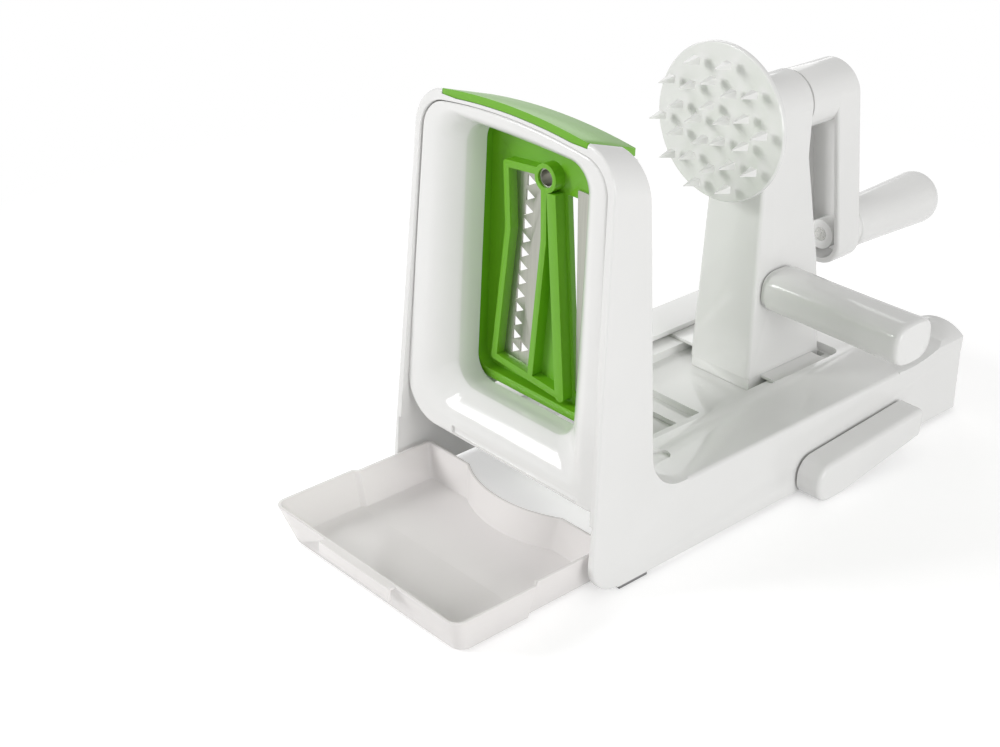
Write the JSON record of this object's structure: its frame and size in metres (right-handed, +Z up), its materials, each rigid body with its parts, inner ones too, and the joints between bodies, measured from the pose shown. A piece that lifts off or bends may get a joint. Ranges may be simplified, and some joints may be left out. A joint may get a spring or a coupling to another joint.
{
  "type": "hand cranked spiralizer",
  "caption": "Tabletop spiralizer: suction base, lift-out blade cartridge, drip tray, and a sliding carriage with a spiked disc on a crank.",
  "frame": {"origin": "centre of the suction cup on the table", "axes": "+Y from the blades to the rear along the carriage's travel, +Z up"},
  "size_m": [0.1608, 0.3821, 0.2002],
  "materials": {
    "white_plastic": "glossy white moulded plastic",
    "green_plastic": "bright green moulded plastic",
    "clear_plastic": "translucent clear plastic with a faint warm tint",
    "blade_steel": "ground stainless blade steel",
    "steel": "bright zinc-plated steel",
    "bush_plastic": "natural acetal",
    "grey_rubber": "soft grey rubber"
  },
  "bodies": {
    "frame": {"body_shell": "white_plastic", "front_panel": "white_plastic", "suction_housing": "white_plastic", "housing_screws": "steel", "feet": "grey_rubber"},
    "cartridge": {"blade_frame": "green_plastic", "coring_ring": "blade_steel", "julienne_blade": "blade_steel", "slicing_blade": "blade_steel"},
    "tray": {"juice_tray": "clear_plastic"},
    "carriage": {"carriage_tower": "white_plastic", "carriage_slide_plate": "white_plastic", "slide_screws": "steel", "push_handle": "white_plastic", "handle_screw": "steel", "bush_front": "bush_plastic", "bush_rear": "bush_plastic"},
    "crank": {"spiked_disc": "white_plastic", "crank_shaft": "steel", "crank_arm": "white_plastic", "crank_washer": "steel", "crank_screw": "steel", "knob_spindle": "steel", "knob_washer": "steel"},
    "knob": {"crank_knob": "white_plastic"},
    "lever": {"suction_lever": "white_plastic", "lever_shaft": "steel", "suction_cam": "bush_plastic"},
    "cup": {"cup_stem": "bush_plastic", "suction_cup": "grey_rubber"}
  },
  "joints": [
    {"name": "blade_lift", "type": "slide", "parent": "frame", "child": "cartridge", "axis": [0, 0, 1], "range_m": [0, 0.135]},
    {"name": "tray_slide", "type": "slide", "parent": "frame", "child": "tray", "axis": [0, -1, 0], "range_m": [-0.083, 0.04]},
    {"name": "carriage_slide", "type": "slide", "parent": "frame", "child": "carriage", "axis": [0, -1, 0], "range_m": [0, 0.082]},
    {"name": "crank_turn", "type": "hinge", "parent": "carriage", "child": "crank", "pos_m": [0, 0.02, 0.1638], "axis": [0, 1, 0], "continuous": true},
    {"name": "knob_spin", "type": "hinge", "parent": "crank", "child": "knob", "pos_m": [0, 0.12, 0.087], "axis": [0, 1, 0], "continuous": true},
    {"name": "lever_turn", "type": "hinge", "parent": "frame", "child": "lever", "pos_m": [0.06, 0, 0.012], "axis": [1, 0, 0], "range_deg": [0, 38]},
    {"name": "cup_lift", "type": "slide", "parent": "frame", "child": "cup", "axis": [0, 0, -1], "range_m": [0, 0.00101], "deforming": ["suction_cup"]}
  ],
  "couplings": [
    {"joint": "cup_lift", "follows": "lever_turn", "m_per_rad": 0.0015}
  ]
}
